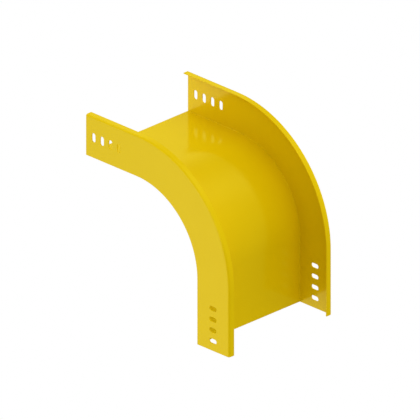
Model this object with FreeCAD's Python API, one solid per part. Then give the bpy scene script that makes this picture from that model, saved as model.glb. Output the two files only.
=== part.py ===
import FreeCAD, Part
import math
import os

# A 90 degree raceway corner of sheet steel. The run comes in level along +X,
# turns down over a quarter circle and leaves along -Z. The floor lies on the
# inner radius. The two side walls stand on it, outward from the bend, square
# to it with a closed seam, and each is folded over at its far edge into a
# narrow lip that turns in over the cable space.
#
# Frame: +Z up, X along the level leg towards the bend, Y across. The origin is
# in the level leg's open end, on the middle plane, on the floor's underside.

# ---- driving dimensions, in mm ----
T = 1.5            # sheet thickness
W = 203.0          # overall width, 200 clear between the walls
H = 63.0           # wall height over the floor's underside
LIP = 10.2         # lip width, from the wall's outer face to its free edge
R_IN = 1.5         # inside radius of the folds between wall and lip
R_OUT = R_IN + T   # outside radius of the same folds
R_SEAM = 0.3       # outside rounding of the seam between floor and wall
R_ROOT = 0.7       # filled root inside the same seam
R_EDGE = 0.3       # rounding of the lips' free edges
R_CUT = 0.2        # rounding of the cut ends and of the slots' edges

LEG_X = 100.0      # straight length of the level leg
LEG_Z = 100.0      # straight length of the falling leg
R_BEND = 120.0     # bend radius at the floor's underside

SLOT_W = 7.0       # slot width
SLOT_L = 14.0      # slot length, end to end, along the wall's height
SLOT_N = 4         # slots at each end of each wall
SLOT_FIRST = 15.0  # open end to the first slot's centre
SLOT_PITCH = 50.0 / 3.0
SLOT_H = 31.0      # slot centre over the floor's underside

BEND_X = LEG_X
BEND_Z = -R_BEND
FALL_X = BEND_X + R_BEND          # floor's underside on the falling leg
END_Z = BEND_Z - LEG_Z            # open end of the falling leg

V = FreeCAD.Vector


def section():
    """The channel's section in the plane X = 0: a floor, two square walls and
    two folded lips, as one closed face."""
    hw = W / 2.0

    def side(s):
        """Points of the outer and inner skins of one half, floor to lip."""
        y = lambda v: s * v
        c = math.sqrt(0.5)
        outer = [
            ("L", (y(0.0), 0.0), (y(hw - R_SEAM), 0.0)),
            ("A", (y(hw - R_SEAM), 0.0),
             (y(hw - R_SEAM + R_SEAM * c), R_SEAM - R_SEAM * c),
             (y(hw), R_SEAM)),
            ("L", (y(hw), R_SEAM), (y(hw), H - R_OUT)),
            ("A", (y(hw), H - R_OUT),
             (y(hw - R_OUT + R_OUT * c), H - R_OUT + R_OUT * c),
             (y(hw - R_OUT), H)),
            ("L", (y(hw - R_OUT), H), (y(hw - LIP + R_EDGE), H)),
            ("A", (y(hw - LIP + R_EDGE), H),
             (y(hw - LIP + R_EDGE - R_EDGE * c), H - R_EDGE + R_EDGE * c),
             (y(hw - LIP), H - R_EDGE)),
            ("L", (y(hw - LIP), H - R_EDGE), (y(hw - LIP), H - T + R_EDGE)),
            ("A", (y(hw - LIP), H - T + R_EDGE),
             (y(hw - LIP + R_EDGE - R_EDGE * c), H - T + R_EDGE - R_EDGE * c),
             (y(hw - LIP + R_EDGE), H - T)),
            ("L", (y(hw - LIP + R_EDGE), H - T), (y(hw - R_OUT), H - T)),
            ("A", (y(hw - R_OUT), H - T),
             (y(hw - R_OUT + R_IN * c), H - R_OUT + R_IN * c),
             (y(hw - T), H - R_OUT)),
            ("L", (y(hw - T), H - R_OUT), (y(hw - T), T + R_ROOT)),
            ("A", (y(hw - T), T + R_ROOT),
             (y(hw - T - R_ROOT + R_ROOT * c), T + R_ROOT - R_ROOT * c),
             (y(hw - T - R_ROOT), T)),
            ("L", (y(hw - T - R_ROOT), T), (y(0.0), T)),
        ]
        return outer

    def edges(items):
        out = []
        for it in items:
            pts = [V(0.0, p[0], p[1]) for p in it[1:]]
            if it[0] == "L":
                out.append(Part.makeLine(pts[0], pts[1]))
            else:
                out.append(Part.Arc(pts[0], pts[1], pts[2]).toShape())
        return out

    right = side(1.0)
    left = side(-1.0)
    # one straight floor line on each skin, wall to wall
    under = Part.makeLine(V(0, -(hw - R_SEAM), 0), V(0, hw - R_SEAM, 0))
    top = Part.makeLine(V(0, -(hw - T - R_ROOT), T), V(0, hw - T - R_ROOT, T))
    all_edges = [under, top] + edges(right[1:-1]) + edges(left[1:-1])
    wire = Part.Wire(Part.__sortEdges__(all_edges))
    return Part.Face(wire)


def slot_cutter(cx, cz, along_x, y0, y1):
    """A stadium prism along Y, its long axis along X or along Z."""
    r = SLOT_W / 2.0
    half = SLOT_L / 2.0 - r
    if along_x:
        a, b = V(cx - half, y0, cz), V(cx + half, y0, cz)
        side = V(0, 0, r)
        end = V(r, 0, 0)
    else:
        a, b = V(cx, y0, cz - half), V(cx, y0, cz + half)
        side = V(r, 0, 0)
        end = V(0, 0, r)
    wire = Part.Wire([
        Part.makeLine(a + side, b + side),
        Part.Arc(b + side, b + end, b - side).toShape(),
        Part.makeLine(b - side, a - side),
        Part.Arc(a - side, a - end, a + side).toShape(),
    ])
    return Part.Face(wire).extrude(V(0, y1 - y0, 0))


# ---- the channel: level leg, quarter bend, falling leg ----
face = section()
level = face.extrude(V(LEG_X, 0, 0))
start = face.copy()
start.translate(V(LEG_X, 0, 0))
axis_at = V(BEND_X, 0, BEND_Z)
bend = start.revolve(axis_at, V(0, 1, 0), 90.0)
turned = start.copy()
turned.rotate(axis_at, V(0, 1, 0), 90.0)
falling = turned.extrude(V(0, 0, -LEG_Z))
body = level.fuse([bend, falling]).removeSplitter()

# ---- slots: four at each end of each wall ----
cutters = []
hw = W / 2.0
for i in range(SLOT_N):
    d = SLOT_FIRST + i * SLOT_PITCH
    for y0, y1 in ((-hw - 5.0, -hw + 8.0), (hw - 8.0, hw + 5.0)):
        cutters.append(slot_cutter(d, SLOT_H, False, y0, y1))
        cutters.append(slot_cutter(FALL_X + SLOT_H, END_Z + d, True, y0, y1))
body = body.cut(cutters)
if body.ShapeType != "Solid":
    body = body.Solids[0]

# ---- rounded cut edges ----
tol = 1e-4


def on_plane(edge, axis, value):
    b = edge.BoundBox
    lo, hi = {
        "x": (b.XMin, b.XMax),
        "y": (b.YMin, b.YMax),
        "z": (b.ZMin, b.ZMax),
    }[axis]
    return abs(lo - value) < 1e-3 and abs(hi - value) < 1e-3


def slot_edge(edge):
    """An edge of a slot lies in a wall face, near a slot's centre."""
    if not any(on_plane(edge, "y", v) for v in (hw, hw - T, -hw, -(hw - T))):
        return False
    b = edge.BoundBox
    cx, cz = (b.XMin + b.XMax) / 2.0, (b.ZMin + b.ZMax) / 2.0
    for i in range(SLOT_N):
        d = SLOT_FIRST + i * SLOT_PITCH
        if abs(cx - d) < SLOT_W and abs(cz - SLOT_H) < SLOT_L and b.XLength <= SLOT_L + 0.1 and b.ZLength <= SLOT_L + 0.1:
            return True
        if abs(cz - (END_Z + d)) < SLOT_W and abs(cx - (FALL_X + SLOT_H)) < SLOT_L and b.XLength <= SLOT_L + 0.1 and b.ZLength <= SLOT_L + 0.1:
            return True
    return False


slots = [e for e in body.Edges if slot_edge(e)]
ends = [e for e in body.Edges if on_plane(e, "x", 0.0) or on_plane(e, "z", END_Z)]
body = body.makeFillet(R_CUT, slots)
ends = [e for e in body.Edges if on_plane(e, "x", 0.0) or on_plane(e, "z", END_Z)]
body = body.makeFillet(R_CUT, ends)
if body.ShapeType != "Solid":
    body = body.Solids[0]

print("solids", len(body.Solids), "valid", body.isValid())
print("volume mm3", round(body.Volume, 1), "faces", len(body.Faces))
print("slot edges", len(slots), "end edges", len(ends))
b = body.BoundBox
print("box", [round(v, 3) for v in (b.XMin, b.YMin, b.ZMin, b.XMax, b.YMax, b.ZMax)])
c = body.CenterOfMass
print("centre of mass", [round(v, 2) for v in (c.x, c.y, c.z)])

os.makedirs("parts", exist_ok=True)
body.exportStep("parts/raceway_corner.step")
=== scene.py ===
import math

import bpy
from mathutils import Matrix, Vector


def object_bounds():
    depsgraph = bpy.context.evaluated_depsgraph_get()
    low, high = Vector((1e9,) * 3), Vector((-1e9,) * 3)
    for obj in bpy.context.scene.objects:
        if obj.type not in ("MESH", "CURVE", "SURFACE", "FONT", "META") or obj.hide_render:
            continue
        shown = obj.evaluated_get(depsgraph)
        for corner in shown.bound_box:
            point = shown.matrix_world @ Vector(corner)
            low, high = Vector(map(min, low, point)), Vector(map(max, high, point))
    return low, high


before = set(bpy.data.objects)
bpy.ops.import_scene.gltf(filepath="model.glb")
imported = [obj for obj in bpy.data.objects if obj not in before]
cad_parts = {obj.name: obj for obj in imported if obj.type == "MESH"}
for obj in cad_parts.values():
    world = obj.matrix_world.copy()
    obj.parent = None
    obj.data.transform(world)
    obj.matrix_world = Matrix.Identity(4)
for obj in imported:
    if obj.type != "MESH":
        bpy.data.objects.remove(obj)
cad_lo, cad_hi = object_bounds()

scene = bpy.context.scene
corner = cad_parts["raceway_corner"]

# ---------------------------------------------------------------- material
# Yellow powder coat on sheet steel. The coat is semi-gloss, a little thicker in
# some places than in others, and it has the fine orange peel that a baked coat
# has. All patterns are in the object's own metres, so they keep their real size.


def node(tree, kind, x, y, **values):
    n = tree.nodes.new(kind)
    n.location = (x, y)
    for key, value in values.items():
        setattr(n, key, value)
    return n


def noise(tree, coords, x, y, size, detail, roughness):
    """Noise whose bumps are about size metres across."""
    n = node(tree, "ShaderNodeTexNoise", x, y)
    n.inputs["Scale"].default_value = 1.0 / size
    n.inputs["Detail"].default_value = detail
    n.inputs["Roughness"].default_value = roughness
    tree.links.new(coords, n.inputs["Vector"])
    return n.outputs["Fac"]


def spread(tree, value, x, y, low, high):
    """Carries a noise value, which stays mostly between 0.3 and 0.7, to low..high."""
    n = node(tree, "ShaderNodeMapRange", x, y)
    n.inputs["From Min"].default_value = 0.3
    n.inputs["From Max"].default_value = 0.7
    n.inputs["To Min"].default_value = low
    n.inputs["To Max"].default_value = high
    tree.links.new(value, n.inputs["Value"])
    return n.outputs["Result"]


def powder_coat():
    mat = bpy.data.materials.new("yellow_powder_coat")
    mat.use_nodes = True
    tree = mat.node_tree
    tree.nodes.clear()
    out = node(tree, "ShaderNodeOutputMaterial", 900, 0)
    bsdf = node(tree, "ShaderNodeBsdfPrincipled", 600, 0)
    tree.links.new(bsdf.outputs["BSDF"], out.inputs["Surface"])
    bsdf.inputs["IOR"].default_value = 1.5
    coords = node(tree, "ShaderNodeTexCoord", -900, 0).outputs["Object"]

    # colour: the pigment, a touch deeper where the coat is thicker
    cloud = noise(tree, coords, -600, 400, 0.045, 2.0, 0.5)
    fleck = noise(tree, coords, -600, 150, 0.0015, 2.0, 0.6)
    deep = spread(tree, cloud, -400, 400, 0.0, 1.0)
    tone = node(tree, "ShaderNodeMix", -150, 350, data_type="RGBA")
    tone.inputs[6].default_value = (0.812, 0.562, 0.012, 1.0)
    tone.inputs[7].default_value = (0.800, 0.550, 0.010, 1.0)
    tree.links.new(deep, tone.inputs[0])
    speck = node(tree, "ShaderNodeMix", 100, 300, data_type="RGBA", blend_type="MULTIPLY")
    speck.inputs[7].default_value = (0.985, 0.980, 0.97, 1.0)
    tree.links.new(spread(tree, fleck, -400, 150, 0.0, 1.0), speck.inputs[0])
    tree.links.new(tone.outputs[2], speck.inputs[6])
    tree.links.new(speck.outputs[2], bsdf.inputs["Base Color"])

    # gloss: slightly uneven
    haze = noise(tree, coords, -600, -100, 0.012, 3.0, 0.55)
    tree.links.new(spread(tree, haze, -300, -100, 0.115, 0.150), bsdf.inputs["Roughness"])

    # orange peel: waves about 1.6 mm apart and a few thousandths of a mm high
    peel = noise(tree, coords, -600, -350, 0.0016, 1.0, 0.45)
    wave = noise(tree, coords, -600, -600, 0.007, 1.0, 0.4)
    bump_a = node(tree, "ShaderNodeBump", 100, -350)
    bump_a.inputs["Strength"].default_value = 1.0
    bump_a.inputs["Distance"].default_value = 0.000010
    tree.links.new(peel, bump_a.inputs["Height"])
    bump_b = node(tree, "ShaderNodeBump", 350, -450)
    bump_b.inputs["Strength"].default_value = 1.0
    bump_b.inputs["Distance"].default_value = 0.000012
    tree.links.new(wave, bump_b.inputs["Height"])
    tree.links.new(bump_a.outputs["Normal"], bump_b.inputs["Normal"])
    tree.links.new(bump_b.outputs["Normal"], bsdf.inputs["Normal"])
    return mat


paint = powder_coat()
corner.data.materials.clear()
corner.data.materials.append(paint)

# ------------------------------------------------------------------- stage
# A plain white floor under the falling leg's open end and a plain white
# surround. They are what the camera sees; the light itself is the world's.


def plain_white(name):
    mat = bpy.data.materials.new(name)
    mat.use_nodes = True
    tree = mat.node_tree
    tree.nodes.clear()
    out = node(tree, "ShaderNodeOutputMaterial", 300, 0)
    glow = node(tree, "ShaderNodeEmission", 0, 0)
    glow.inputs["Color"].default_value = (1.0, 1.0, 1.0, 1.0)
    glow.inputs["Strength"].default_value = 1.0
    tree.links.new(glow.outputs[0], out.inputs["Surface"])
    return mat


def only_seen(obj):
    obj.visible_diffuse = False
    obj.visible_glossy = False
    obj.visible_transmission = False
    obj.visible_volume_scatter = False
    obj.visible_shadow = False


middle = (cad_lo + cad_hi) / 2.0
bpy.ops.mesh.primitive_circle_add(
    vertices=96, radius=9.0, fill_type="NGON", location=(middle.x, middle.y, cad_lo.z - 0.0005)
)
floor = bpy.context.object
floor.name = "floor"
floor.data.materials.append(plain_white("floor_white"))
only_seen(floor)

bpy.ops.mesh.primitive_uv_sphere_add(segments=64, ring_count=32, radius=10.0, location=tuple(middle))
surround = bpy.context.object
surround.name = "surround"
surround.data.materials.append(plain_white("surround_white"))
only_seen(surround)

# ------------------------------------------------------------------- light
# Soft studio light: an even surround and eight large soft sources. Each source
# has its bearing from +X towards +Y and its height, both in degrees, then how
# tight it is (16 is about 17 degrees to half strength, 8 about 24) and its colour.
AMBIENT = (0.330, 0.330, 0.030)
SOFT = [
    (-142.0, -28.0, 15.6, (1.28, 1.28, 0.41)),  # low, in front, on the open end's side
    (-102.0, -3.0, 18.5, (2.61, 2.61, 0.94)),   # level, in front of the near wall
    (75.0, 8.0, 8.5, (1.91, 1.91, 0.13)),       # broad, level, behind the far wall
    (-172.0, 22.0, 16.4, (2.71, 2.71, 0.60)),   # before the level leg's open end
    (148.0, 31.0, 15.8, (1.03, 1.03, 0.21)),    # high, behind the open end
    (-16.0, 35.5, 14.6, (2.75, 2.75, 0.19)),    # high, before the falling leg
    (-108.0, 36.0, 16.4, (0.70, 0.70, 0.00)),   # high, in front of the near wall
    (53.5, 60.0, 15.3, (1.35, 1.35, 0.21)),     # overhead, behind the bend
]


def studio_light():
    world = bpy.data.worlds.new("studio")
    scene.world = world
    world.use_nodes = True
    tree = world.node_tree
    tree.nodes.clear()
    out = node(tree, "ShaderNodeOutputWorld", 1800, 0)
    back = node(tree, "ShaderNodeBackground", 1600, 0)
    back.inputs["Strength"].default_value = 1.0
    tree.links.new(back.outputs[0], out.inputs["Surface"])
    heading = node(tree, "ShaderNodeTexCoord", -400, 0).outputs["Generated"]
    total = None
    for i, (bearing, height, tight, colour) in enumerate(SOFT):
        b, h = math.radians(bearing), math.radians(height)
        d = Vector((math.cos(h) * math.cos(b), math.cos(h) * math.sin(b), math.sin(h)))
        dot = node(tree, "ShaderNodeVectorMath", 0, -200 * i, operation="DOT_PRODUCT")
        dot.inputs[1].default_value = d
        tree.links.new(heading, dot.inputs[0])
        away = node(tree, "ShaderNodeMath", 200, -200 * i, operation="MULTIPLY_ADD")
        away.inputs[1].default_value = tight
        away.inputs[2].default_value = -tight
        tree.links.new(dot.outputs["Value"], away.inputs[0])
        fall = node(tree, "ShaderNodeMath", 400, -200 * i, operation="EXPONENT")
        tree.links.new(away.outputs[0], fall.inputs[0])
        lit = node(tree, "ShaderNodeVectorMath", 600, -200 * i, operation="SCALE")
        lit.inputs[0].default_value = colour
        tree.links.new(fall.outputs[0], lit.inputs["Scale"])
        add = node(tree, "ShaderNodeVectorMath", 800, -200 * i, operation="ADD")
        if total is None:
            add.inputs[0].default_value = AMBIENT
        else:
            tree.links.new(total, add.inputs[0])
        tree.links.new(lit.outputs[0], add.inputs[1])
        total = add.outputs[0]
    if total is None:
        back.inputs["Color"].default_value = (*AMBIENT, 1.0)
    else:
        tree.links.new(total, back.inputs["Color"])


studio_light()
scene.view_settings.view_transform = "Standard"
scene.view_settings.look = "None"
scene.view_settings.exposure = 0.0
scene.view_settings.gamma = 1.0

# ------------------------------------------------------------------ camera
# A parallel view from 45 degrees to the right of the near wall and 25 degrees
# above, 0.715 picture points to the millimetre in a frame of 420 by 420.
AZIMUTH, ELEVATION = math.radians(45.0), math.radians(25.0)
towards_camera = Vector((
    math.sin(AZIMUTH) * math.cos(ELEVATION),
    -math.cos(AZIMUTH) * math.cos(ELEVATION),
    math.sin(ELEVATION),
))
aim = Vector((0.14372, 0.00002, -0.07131))
data = bpy.data.cameras.new("camera")
data.type = "ORTHO"
data.ortho_scale = 0.420 / 0.715
data.clip_start = 0.05
data.clip_end = 40.0
camera = bpy.data.objects.new("camera", data)
scene.collection.objects.link(camera)
camera.location = aim + towards_camera * 2.0
camera.rotation_mode = "QUATERNION"
camera.rotation_quaternion = (-towards_camera).to_track_quat("-Z", "Y")
scene.camera = camera
